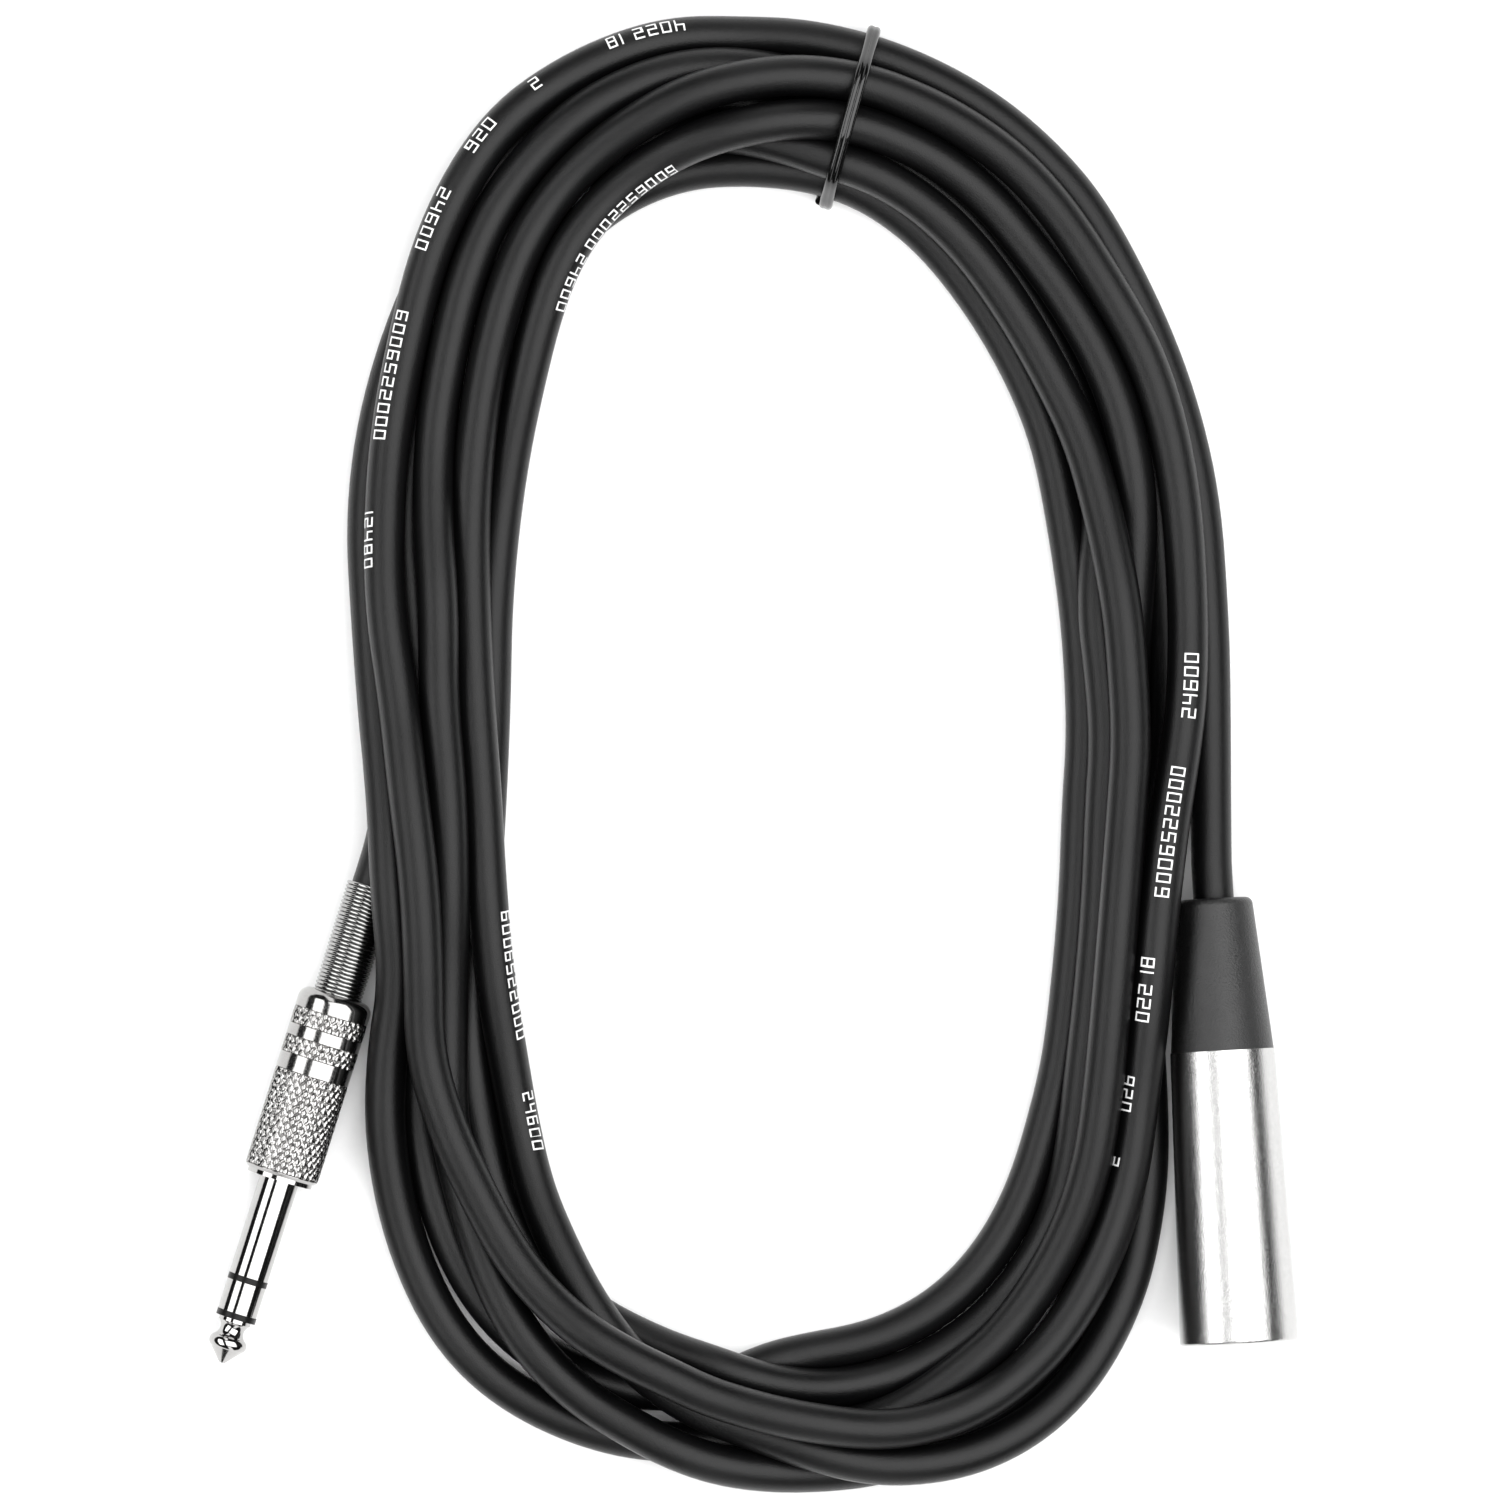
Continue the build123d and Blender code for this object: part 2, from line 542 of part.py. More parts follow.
def make_plug(parts):
    tail_r = LUG_TAIL_R - LUG_THICKNESS / 2
    local = {
        "trs_tip": make_trs_tip(),
        "trs_tip_insulator": make_trs_tip_insulator(),
        "trs_ring": make_trs_ring(),
        "trs_ring_insulator": make_trs_ring_insulator(),
        "trs_sleeve": make_trs_sleeve(),
        "trs_ring_washer": make_trs_washer(TUBE_RADII[1], WASHER_BACK_1),
        "trs_tip_washer": make_trs_washer(TUBE_RADII[0], WASHER_BACK_2),
        "trs_ring_lug": make_lug(TUBE_RADII[1], RING_LUG_BACK, LUG_ANGLES_DEG["cold"]),
        "trs_tip_lug": make_lug(ROD_R, TIP_LUG_BACK, LUG_ANGLES_DEG["hot"]),
        "trs_cable_clamp": make_trs_cable_clamp(),
        "trs_inner_tube": tube(*INNER_TUBE_R, *INNER_TUBE_SPAN),
        "trs_barrel": make_trs_barrel(),
        "trs_spring": make_trs_spring(),
        "trs_wire_hot": make_trs_core(LUG_ANGLES_DEG["hot"], tail_r, TIP_LUG_BACK - LUG_TAIL_LENGTH),
        "trs_wire_cold": make_trs_core(LUG_ANGLES_DEG["cold"], tail_r, RING_LUG_BACK - LUG_TAIL_LENGTH),
        "trs_wire_screen": make_trs_core(270, CABLE_R - CORE_R, SCREEN_END),
    }
    for name, solid in local.items():
        parts[name] = plug_plane * solid


def main():
    parts = {}
    make_cable(parts)
    make_xlr(parts)
    make_plug(parts)
    os.makedirs("parts", exist_ok=True)
    for name, solid in parts.items():
        solid.label = name
        export_step(solid, f"parts/{name}.step")
    box = Compound(children=list(parts.values())).bounding_box()
    print("box", box.min, box.max)


main()
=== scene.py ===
import bisect
import bpy
import math
from mathutils import Matrix, Vector


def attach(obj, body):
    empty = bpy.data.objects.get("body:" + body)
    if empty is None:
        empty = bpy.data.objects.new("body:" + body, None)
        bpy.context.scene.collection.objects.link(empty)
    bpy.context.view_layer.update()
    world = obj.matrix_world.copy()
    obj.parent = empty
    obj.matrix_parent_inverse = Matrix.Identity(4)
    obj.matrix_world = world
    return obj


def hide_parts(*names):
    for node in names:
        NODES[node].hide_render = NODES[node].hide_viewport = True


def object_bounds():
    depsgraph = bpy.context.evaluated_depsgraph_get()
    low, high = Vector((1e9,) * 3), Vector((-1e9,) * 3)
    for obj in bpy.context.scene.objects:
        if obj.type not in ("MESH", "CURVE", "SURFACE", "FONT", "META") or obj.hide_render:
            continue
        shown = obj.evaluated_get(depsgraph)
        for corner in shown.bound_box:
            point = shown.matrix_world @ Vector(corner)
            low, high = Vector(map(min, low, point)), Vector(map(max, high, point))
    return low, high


# A balanced audio cable, wound into a tall oval coil and tied at the top, with a male XLR connector on
# one end and a stereo phone plug on the other. The frame's axes: the coil lies flat on z = 0, +Y runs
# along the oval and +Z up. Sizes are in millimetres and become metres where a piece is made.

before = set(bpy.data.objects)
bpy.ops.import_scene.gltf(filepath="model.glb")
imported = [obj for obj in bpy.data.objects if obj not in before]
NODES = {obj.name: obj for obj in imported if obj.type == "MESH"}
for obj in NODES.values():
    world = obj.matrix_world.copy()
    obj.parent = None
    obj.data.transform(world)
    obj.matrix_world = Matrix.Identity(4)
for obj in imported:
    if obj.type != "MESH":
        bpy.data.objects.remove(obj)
cad_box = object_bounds()
MM = 0.001

# ---------------------------------------------------------------- the cable's route

CABLE_R = 3.25
CABLE_D = 2 * CABLE_R
SKIN = 0.02                     # clear air between two turns that touch

# The uncoiled ends, in metres, from inside each connector to where the coil begins
TAIL_XLR = [
    (0.07549, -0.05997, 0.00866), (0.073163, -0.019544, 0.007664), (0.07299, -0.01655, 0.00759),
    (0.0730, 0.0120, 0.0039),
]
TAIL_TRS = [
    (-0.07005, -0.05009, 0.0060), (-0.0608, -0.02076, 0.0060), (-0.05829, -0.0128, 0.0060),
    (-0.0576, -0.0045, 0.0054), (-0.0570, 0.0050, 0.0040),
]

# Stations round the coil, counter-clockwise from its right side: outer edge x, y and inner edge x, y.
# They are the coil's outline as it is seen from above.
STATIONS = [
    (76.1, 8.6, 51.2, 8.6), (74.8, 39.0, 47.5, 39.0), (68.2, 65.4, 41.0, 58.2),
    (55.4, 89.4, 31.1, 74.9), (39.4, 105.0, 21.7, 84.3), (19.0, 113.6, 11.6, 90.9),
    (-2.5, 117.9, -3.0, 91.8), (-20.6, 114.6, -14.8, 90.6), (-40.0, 102.6, -25.8, 81.8),
    (-54.0, 81.0, -32.9, 69.8), (-62.5, 51.8, -37.7, 48.6), (-63.8, 23.0, -39.1, 23.0),
    (-61.7, -5.8, -39.9, -5.8), (-61.2, -34.6, -40.4, -34.6), (-61.0, -60.2, -36.6, -58.6),
    (-55.0, -87.7, -28.2, -78.9), (-42.6, -103.2, -20.1, -89.0), (-24.6, -111.7, -11.0, -97.3),
    (-6.2, -115.8, -3.0, -100.0), (11.9, -117.9, 12.2, -96.3), (26.2, -116.2, 21.0, -92.3),
    (41.0, -111.5, 29.0, -87.5), (53.8, -101.4, 35.9, -80.5), (62.3, -85.8, 41.4, -70.6),
    (65.7, -66.6, 45.5, -58.6), (67.0, -39.4, 49.0, -37.0), (71.4, -7.4, 50.6, -6.9),
]
# How deep each turn lies inside the coil's outer edge, station by station: the loose turns fan out.
# The first turn comes from the XLR connector and the last, a short one, ends at the plug.
DEPTHS = [
    [3.2, 3.2, 3.5, 3.5, 3.6, 3.3, 3.2, 3.3, 3.2, 3.3, 4.2, 5.5, 5.8, 7.6, 12.4, 17.5, 19.6, 15.9, 11.3,
     9.3, 8.6, 9.2, 9.8, 8.7, 5.9, 3.6, 4.5],
    [7.1, 6.6, 5.8, 6.9, 8.0, 7.6, 10.1, 11.7, 13.8, 16.1, 18.5, 18.8, 17.6, 18.0, 21.4, 24.6, 22.8,
     16.6, 10.8, 6.4, 3.6, 3.0, 3.1, 3.2, 3.6, 3.6, 5.0],
    [7.0, 5.6, 9.2, 10.2, 9.0, 7.5, 8.8, 7.8, 7.8, 8.5, 11.0, 12.3, 12.0, 12.1, 13.7, 13.3, 11.3, 6.7,
     3.3, 3.3, 3.6, 5.8, 7.8, 8.5, 7.6, 7.0, 9.3],
    [13.2, 12.5, 11.5, 12.6, 13.8, 13.8, 16.3, 19.0, 21.3, 21.1, 21.5, 21.3, 19.0, 17.0, 15.8, 18.4,
     20.6, 17.0, 13.4, 13.8, 16.6, 19.8, 20.8, 19.4, 15.5, 11.5, 13.4],
    [18.5, 19.6, 20.0, 20.4, 18.6, 14.1, 13.1, 7.1, 4.9, 4.0, 3.3, 3.3, 3.3, 3.3, 3.2, 2.9, 3.4, 3.7,
     5.9, 10.7, 14.1, 17.1, 17.8, 15.8, 11.8, 8.9, 11.6],
    [16.5, 18.4, 21.0, 21.8, 21.1, 19.5, 18.6, 16.8, 15.3, 11.3, 8.9, 9.4, 7.5, 7.1, 7.0, 8.4, 10.0,
     10.7, 13.1, 18.4, 20.9, 23.4, 24.1, 22.0, 18.3, 15.3, 17.9],
    [21.6, 23.8, 24.4, 24.9, 23.9, 20.7, 22.1, 21.4, 20.2, 19.8, 17.8, 10.1],
]
# Which turn lies on which, from the bottom up, as far as the station named first
LAYERS = [
    (1.0, [6, 3, 0, 4, 2, 5, 1]),
    (2.75, [6, 0, 2, 3, 4, 5, 1]),
    (6.75, [6, 4, 2, 0, 5, 3, 1]),
    (8.75, [6, 4, 5, 2, 3, 1, 0]),
    (10.25, [6, 5, 4, 2, 3, 1, 0]),
    (14.25, [6, 5, 3, 2, 1, 4, 0]),
    (20.0, [5, 3, 4, 2, 1, 0]),
    (27.0, [5, 2, 3, 1, 4, 0]),
]
FIRST_POINT = 1                 # the wound part's first point, in half stations
BEND_R = 38.0                   # tightest bend up or down where a turn climbs over another

NEAR = 3                        # half stations either way within which two turns can touch
CLIMB = 8                       # points either side that a climb is spread over
CLIMB_SWEEPS = 60
CLIMB_EASE = 12                 # passes that fill the dips of a climb
CLIMB_DONE = 0.01

SETTLE_SWEEPS = 160
SETTLE_LAST = 8                 # closing sweeps that only part what still touches
SETTLE_STIFFNESS = 0.8
SETTLE_PULL = (0.10, 0.10, 0.05, 0.10, 0.05, 0.08, 0.25)   # each turn's pull back towards the plan
SETTLE_SINK = 0.15
SETTLE_WEIGHT = 0.12            # the lower of two turns gives way less
SETTLE_BEND_R = 35.0            # sharper bends are eased towards this one
SETTLE_HELD = 5                 # points at each end that stay in line with the tails

TIE_CENTRE = Vector((15.4, 102.2))
TIE_LEAN = math.radians(16.3)
TIE_LIFT = 1.4                  # the tie's wire runs under the coil
TIE_REACH = 34.0                # how far from the tie the coil is lifted

# ---------------------------------------------------------------- the connectors' axes and sizes

XLR_YAW = math.radians(3.3)
XLR_TAPER = math.atan(1.15 / 46.7)   # it rests on its shell's front and on the boot's rear
XLR_ORIGIN = Vector((77.45, -93.9, 9.497))
PLUG_YAW = math.radians(17.5)
PLUG_ORIGIN = Vector((-75.458, -67.253, 6.0))


def axis_frame(origin, yaw, taper):
    """A connector's own frame: Z along it towards its front, X across it, Y up, 0 at the front face."""
    z = Vector((math.sin(yaw) * math.cos(taper), -math.cos(yaw) * math.cos(taper), math.sin(taper)))
    x = Vector((math.cos(yaw), math.sin(yaw), 0.0))
    m = Matrix((x, z.cross(x), z)).transposed().to_4x4()
    m.translation = origin
    return m


XLR_FRAME = axis_frame(XLR_ORIGIN, XLR_YAW, XLR_TAPER)
PLUG_FRAME = axis_frame(PLUG_ORIGIN, -PLUG_YAW, 0.0)

BARREL_R = 6.0
SPRING_R = 4.0
# What the coil rides over: along a connector's axis, from, to, radius there, radius here
UNDER_COIL = [
    (PLUG_FRAME, -36.0, 0.0, BARREL_R, BARREL_R),
    (PLUG_FRAME, -56.0, -36.0, SPRING_R + 0.4, SPRING_R + 0.4),
    (XLR_FRAME, -78.0, -51.0, 6.7, 8.4),
    (XLR_FRAME, -51.0, 0.0, 8.4, 9.5),
]
RIDE_GAP = 0.9                  # air kept over them, so that they can slide along the cable
RIDE_STEP = 1.5                 # spacing of the places on their axes that the coil is kept off

# ---------------------------------------------------------------- small helpers


def lerp(a, b, t):
    return a + (b - a) * t


def running_lengths(points):
    lengths = [0.0]
    for a, b in zip(points, points[1:]):
        lengths.append(lengths[-1] + (b - a).length)
    return lengths


def new_object(name, data, body="root"):
    o = bpy.data.objects.new(name, data)
    bpy.context.scene.collection.objects.link(o)
    if body:
        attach(o, body)
    return o


def mesh_object(name, verts, faces, body="root", smooth=True):
    """Verts in millimetres."""
    mesh = bpy.data.meshes.new(name)
    mesh.from_pydata([Vector(v) * MM for v in verts], [], faces)
    mesh.validate()
    for p in mesh.polygons:
        p.use_smooth = smooth
    return new_object(name, mesh, body)


def wire_object(name, points, radius, body="root", sides=4):
    """A round wire through points in millimetres."""
    curve = bpy.data.curves.new(name, "CURVE")
    curve.dimensions = "3D"
    curve.bevel_depth = 1.0
    curve.bevel_resolution = sides
    curve.use_fill_caps = True
    spline = curve.splines.new("POLY")
    spline.points.add(len(points) - 1)
    for p, v in zip(spline.points, points):
        p.co = (*(Vector(v) * MM), 1.0)
        p.radius = radius * MM
    return new_object(name, curve, body)


# ---------------------------------------------------------------- materials


def node(tree, kind, **settings):
    n = tree.nodes.new(kind)
    for key, value in settings.items():
        if key in n.inputs:
            n.inputs[key].default_value = value
        else:
            setattr(n, key, value)
    return n


def finish(name, dark, light, roughness, metallic=0.0, mottle=90.0, grain=2500.0, bump=0.2,
           depth=0.00004, specular=0.5):
    """A material whose colour, gloss and surface all vary, in a broad pattern, mottle, and a fine one."""
    m = bpy.data.materials.new(name)
    m.use_nodes = True
    t = m.node_tree
    shader = t.nodes["Principled BSDF"]
    shader.inputs["Metallic"].default_value = metallic
    shader.inputs["Specular IOR Level"].default_value = specular
    coords = node(t, "ShaderNodeTexCoord").outputs["Object"]
    broad = node(t, "ShaderNodeTexNoise", Scale=mottle, Detail=4.0, Roughness=0.6)
    fine = node(t, "ShaderNodeTexNoise", Scale=grain, Detail=3.0, Roughness=0.65)
    both = node(t, "ShaderNodeMath", operation="ADD")
    half = node(t, "ShaderNodeMath", operation="MULTIPLY")
    half.inputs[1].default_value = 0.5
    ramp = node(t, "ShaderNodeValToRGB")
    for element, place, colour in zip(ramp.color_ramp.elements, (0.3, 0.75), (dark, light)):
        element.position = place
        element.color = (*colour, 1.0)
    gloss = node(t, "ShaderNodeMapRange")
    for socket, value in zip(("From Min", "From Max", "To Min", "To Max"), (0.3, 0.7, *roughness)):
        gloss.inputs[socket].default_value = value
    relief = node(t, "ShaderNodeBump", Strength=bump, Distance=depth)
    for source, target in (
        (coords, broad.inputs["Vector"]), (coords, fine.inputs["Vector"]),
        (broad.outputs["Fac"], both.inputs[0]), (fine.outputs["Fac"], both.inputs[1]),
        (both.outputs["Value"], half.inputs[0]), (half.outputs["Value"], ramp.inputs["Fac"]),
        (ramp.outputs["Color"], shader.inputs["Base Color"]),
        (fine.outputs["Fac"], gloss.inputs["Value"]), (gloss.outputs["Result"], shader.inputs["Roughness"]),
        (fine.outputs["Fac"], relief.inputs["Height"]), (relief.outputs["Normal"], shader.inputs["Normal"]),
    ):
        t.links.new(source, target)
    return m


def grey(v):
    return (v, v, v)


MATERIALS = {
    "cable": finish("cable_pvc", (0.0008, 0.0008, 0.0009), (0.0026, 0.0026, 0.0028), (0.30, 0.42),
                    mottle=160.0, grain=4200.0, bump=0.6, depth=0.00008, specular=0.26),
    "tie": finish("tie_coating", (0.0008, 0.0008, 0.0008), (0.003, 0.003, 0.003), (0.10, 0.18), mottle=300.0,
                  grain=3000.0, bump=0.3),
    "xlr_shell": finish("satin_nickel", (0.40, 0.40, 0.395), (0.56, 0.555, 0.55), (0.10, 0.22), metallic=1.0,
                        mottle=1400.0, grain=3600.0, bump=0.9, depth=0.00006),
    "xlr_insert": finish("insert_black", (0.010, 0.010, 0.010), (0.022, 0.022, 0.022), (0.30, 0.40)),
    "contact": finish("silver_contact", (0.44, 0.43, 0.40), (0.56, 0.55, 0.52), (0.14, 0.24), metallic=1.0),
    "terminal": finish("tinned_brass", (0.36, 0.34, 0.29), (0.48, 0.46, 0.40), (0.28, 0.42), metallic=1.0),
    "chuck": finish("natural_nylon", (0.68, 0.68, 0.62), (0.80, 0.80, 0.75), (0.36, 0.48)),
    "boot": finish("boot_black", (0.0015, 0.0015, 0.0016), (0.006, 0.006, 0.0062), (0.30, 0.42), mottle=500.0,
                   grain=3000.0, bump=0.9, depth=0.00014, specular=0.50),
    "wire_red": finish("core_red", (0.42, 0.02, 0.02), (0.60, 0.05, 0.04), (0.40, 0.52)),
    "wire_white": finish("core_white", (0.74, 0.74, 0.72), (0.86, 0.86, 0.84), (0.40, 0.52)),
    "wire_screen": finish("copper_screen", (0.60, 0.30, 0.18), (0.80, 0.50, 0.36), (0.30, 0.42), metallic=1.0,
                          grain=5000.0, bump=0.8),
    "finger": finish("polished_nickel", (0.34, 0.335, 0.33), (0.42, 0.415, 0.41), (0.05, 0.13), metallic=1.0,
                     mottle=500.0, grain=2600.0, bump=0.06),
    "insulator": finish("insulator_black", (0.002, 0.002, 0.002), (0.006, 0.006, 0.006), (0.25, 0.35),
                        specular=0.15),
    "fibre": finish("red_fibre", (0.18, 0.07, 0.04), (0.32, 0.15, 0.10), (0.55, 0.70), bump=0.5),
    "inner_tube": finish("plastic_tube", (0.62, 0.62, 0.62), (0.76, 0.76, 0.76), (0.30, 0.42)),
    "barrel": finish("barrel_nickel", (0.28, 0.275, 0.27), (0.38, 0.375, 0.37), (0.09, 0.20), metallic=1.0,
                     mottle=420.0, grain=3200.0, bump=0.15),
    "spring": finish("spring_wire", (0.28, 0.28, 0.275), (0.38, 0.38, 0.375), (0.10, 0.20), metallic=1.0,
                     mottle=800.0, grain=4000.0, bump=0.1),
}
PRINT_INK = finish("print_ink", (0.62, 0.62, 0.62), (0.88, 0.88, 0.88), (0.50, 0.62), mottle=900.0,
                   grain=6000.0, bump=0.3)

SLOT_NODES = {
    "xlr_shell": ["xlr_shell"], "xlr_insert": ["xlr_insert"],
    "contact": ["xlr_pin_1", "xlr_pin_2", "xlr_pin_3"],
    "terminal": ["xlr_ground_tab", "trs_ring_lug", "trs_tip_lug", "trs_cable_clamp"], "chuck": ["xlr_chuck"],
    "boot": ["xlr_boot"], "wire_red": ["xlr_wire_hot", "trs_wire_hot"],
    "wire_white": ["xlr_wire_cold", "trs_wire_cold"], "wire_screen": ["xlr_wire_screen", "trs_wire_screen"],
    "finger": ["trs_tip", "trs_ring", "trs_sleeve"], "insulator": ["trs_tip_insulator", "trs_ring_insulator"],
    "fibre": ["trs_ring_washer", "trs_tip_washer"], "inner_tube": ["trs_inner_tube"],
}


def dress(obj, slot):
    """Gives a piece the material of a slot of the record."""
    obj.data.materials.clear()
    obj.data.materials.append(MATERIALS[slot])


for slot, names in SLOT_NODES.items():
    for name in names:
        dress(NODES[name], slot)

# ---------------------------------------------------------------- the coil's turns

PER_TURN = 2 * len(STATIONS)


def station_point(turn, station):
    x0, y0, x1, y1 = STATIONS[station]
    outer = Vector((x0, y0))
    return outer + (Vector((x1, y1)) - outer).normalized() * DEPTHS[turn][station]


def plan_points():
    """The wound part seen from above: a point at every station and half-way between stations."""
    whole = [station_point(k, j) for k, row in enumerate(DEPTHS) for j in range(len(row))]
    points = [whole[0]]
    for i in range(len(whole) - 1):
        before = whole[max(i - 1, 0)]
        after = whole[min(i + 2, len(whole) - 1)]
        points.append(((whole[i] + whole[i + 1]) * 9 - before - after) / 16)
        points.append(whole[i + 1])
    return points


def layer_order(half_station):
    for limit, order in LAYERS:
        if half_station / 2 < limit:
            return order
    return LAYERS[-1][1]


def nearest_on(point, a, b):
    """Distance in plan from point to the piece a-b, and how far along it the nearest place is."""
    run = b - a
    t = min(max((point - a).dot(run) / run.length_squared, 0.0), 1.0)
    return (a + run * t - point).length, t


def clearance(gap, reach):
    """How much higher a centreline must be than another that it passes at that gap in plan."""
    return math.sqrt(max(reach * reach - gap * gap, 0.0))


def tube_samples(points, steps=16):
    """Centreline places of a tail of the cable, as its NURBS curve runs."""
    found = []
    ends = [points[0]] + [(points[i] + points[i + 1]) / 2 for i in range(1, len(points) - 2)] + [points[-1]]
    for i in range(1, len(points) - 1):
        a, b, c = ends[i - 1], points[i], ends[i]
        for j in range(steps):
            t = j / steps
            found.append(a * (1 - t) ** 2 + b * 2 * t * (1 - t) + c * t * t)
    return found + [ends[-1]]


def obstacles():
    """Places under the coil as (position, radius, turn that starts or ends there)."""
    found = []
    for m, z0, z1, r0, r1 in UNDER_COIL:
        steps = int((z1 - z0) / RIDE_STEP)
        for i in range(steps + 1):
            t = i / steps
            found.append((m @ Vector((0.0, 0.0, lerp(z0, z1, t))), lerp(r0, r1, t) + RIDE_GAP, None))
    for tail, own in ((TAIL_XLR, 0), (TAIL_TRS, len(DEPTHS) - 1)):
        line = tube_samples([Vector(p) / MM for p in tail])
        found += [(p, CABLE_R, own) for p in line]
    return found


def own_tail(i, own, turn, last):
    """Whether a tail belongs to the turn at point i, which runs on from it."""
    start = FIRST_POINT if own == 0 else last
    return own == turn and abs(i - start) < PER_TURN // 2


def resting_places(plan, things):
    """The lowest height of each point over the floor, the tie's wire and what lies under the coil."""
    last = len(plan) - 1
    heights = []
    for i, p in enumerate(plan):
        near_tie = max(0.0, 1.0 - (p - TIE_CENTRE).length / TIE_REACH)
        height = CABLE_R + TIE_LIFT * near_tie * near_tie * (3 - 2 * near_tie)
        for position, radius, own in things:
            if own_tail(i, own, i // PER_TURN, last):
                continue
            gap = (position.xy - p).length
            reach = radius + CABLE_R + SKIN
            if gap < reach:
                height = max(height, position.z + clearance(gap, reach))
        heights.append(height)
    return heights


def turns_below(plan):
    """For each point, the nearest place on each lower turn that it passes over: gap, point there, share."""
    last = len(plan) - 1
    found = []
    for i, p in enumerate(plan):
        turn, phase = divmod(i, PER_TURN)
        order = layer_order(phase)
        below = []
        for other in order[:order.index(turn)] if turn in order else []:
            middle = other * PER_TURN + phase
            best = None
            for j in range(max(middle - NEAR, FIRST_POINT), min(middle + NEAR, last)):
                gap, t = nearest_on(p, plan[j], plan[j + 1])
                if best is None or gap < best[0]:
                    best = (gap, j, t)
            if best and best[0] < CABLE_D + SKIN:
                below.append(best)
        found.append(below)
    return found


def stack(plan, floor):
    """Heights of the points: each turn on the floor or on the turns below it, with gentle climbs."""
    last = len(plan) - 1
    needs = turns_below(plan)
    along = running_lengths(plan)
    z = list(floor)
    for sweep in range(CLIMB_SWEEPS):
        before = list(z)
        for i in range(FIRST_POINT, last + 1):
            for gap, j, t in needs[i]:
                z[i] = max(z[i], lerp(z[j], z[j + 1], t) + clearance(gap, CABLE_D + SKIN))
        spread = []
        for i in range(len(z)):
            near = range(max(i - CLIMB, 0), min(i + CLIMB + 1, len(z)))
            spread.append(max(z[j] - (along[i] - along[j]) ** 2 / (2 * BEND_R) for j in near))
        z = spread
        for repeat in range(CLIMB_EASE):
            for i in range(FIRST_POINT + 1, last):
                span = (along[i + 1] - along[i - 1]) / 2
                z[i] = max(z[i], (z[i - 1] + z[i + 1] - span * span / BEND_R) / 2)
        if max(abs(a - b) for a, b in zip(z, before)) < CLIMB_DONE:
            break
    return z


def push_apart(points, i, windows, free):
    """Pushes point i and the other turns apart where they touch."""
    p = points[i]
    for first, last in windows:
        best = None
        for j in range(first, last):
            a = points[j]
            run = points[j + 1] - a
            t = min(max((p - a).dot(run) / run.length_squared, 0.0), 1.0)
            d = p - a - run * t
            if best is None or d.length_squared < best[0].length_squared:
                best = (d, j, t)
        if best and best[0].length < CABLE_D + SKIN:
            d, j, t = best
            push = d.normalized() * (CABLE_D + SKIN - d.length)
            mine = 0.5 + SETTLE_WEIGHT * max(-1.0, min(1.0, d.z / CABLE_R))
            if i in free:
                p += push * mine
            if j in free:
                points[j] -= push * (1 - t) * (1 - mine)
            if j + 1 in free:
                points[j + 1] -= push * t * (1 - mine)


def settle(points, things, floor):
    """Lets the stacked turns sink and slip sideways until they rest on each other, close to the plan."""
    last = len(points) - 1
    plan = [p.copy() for p in points]
    low = [min(f, CABLE_R + TIE_LIFT) for f in floor]
    inside = [[v / MM + CABLE_R * sign for v in corner] for corner, sign in zip(cad_box, (1, -1))]
    free = range(FIRST_POINT + SETTLE_HELD, last + 1 - SETTLE_HELD)
    windows = []
    under = []
    for i, p in enumerate(points):
        turn, phase = divmod(i, PER_TURN)
        others = [k * PER_TURN + phase for k in range(len(DEPTHS)) if k != turn]
        windows.append([(max(j - NEAR, FIRST_POINT), min(j + NEAR, last)) for j in others if j < last + NEAR])
        under.append([(position, radius + CABLE_R + SKIN) for position, radius, own in things
                      if not own_tail(i, own, turn, last) and (position.xy - p.xy).length < NEAR * CABLE_D])
    for sweep in range(SETTLE_SWEEPS):
        if sweep < SETTLE_SWEEPS - SETTLE_LAST:
            # The cable is stiff, so a point's move from the plan is shared with its neighbours
            off = [p - q for p, q in zip(points, plan)]
            for i in free:
                even = (off[i - 1] + off[i + 1]) / 2
                off[i] = lerp(off[i], even, SETTLE_STIFFNESS)
                off[i].xy *= 1 - SETTLE_PULL[i // PER_TURN]
                off[i].z -= SETTLE_SINK
                points[i] = plan[i] + off[i]
        for i in range(FIRST_POINT, last + 1):
            push_apart(points, i, windows[i], free)
            if i in free:
                p = points[i]
                for position, reach in under[i]:
                    d = p - position
                    if d.length < reach:
                        p += d.normalized() * (reach - d.length)
                p.z = max(p.z, low[i])
        for i in free:
            middle = (points[i - 1] + points[i + 1]) / 2
            most = (points[i + 1] - points[i - 1]).length_squared / (8 * SETTLE_BEND_R)
            bulge = points[i] - middle
            if bulge.length > most:
                points[i] = middle + bulge.normalized() * most
            for axis in range(3):
                points[i][axis] = min(max(points[i][axis], inside[0][axis]), inside[1][axis])
    return points


def coil_points():
    """The wound part's control points."""
    plan = plan_points()
    things = obstacles()
    floor = resting_places(plan, things)
    heights = stack(plan, floor)
    return settle([Vector((*p, z)) for p, z in zip(plan, heights)], things, floor)[FIRST_POINT:]


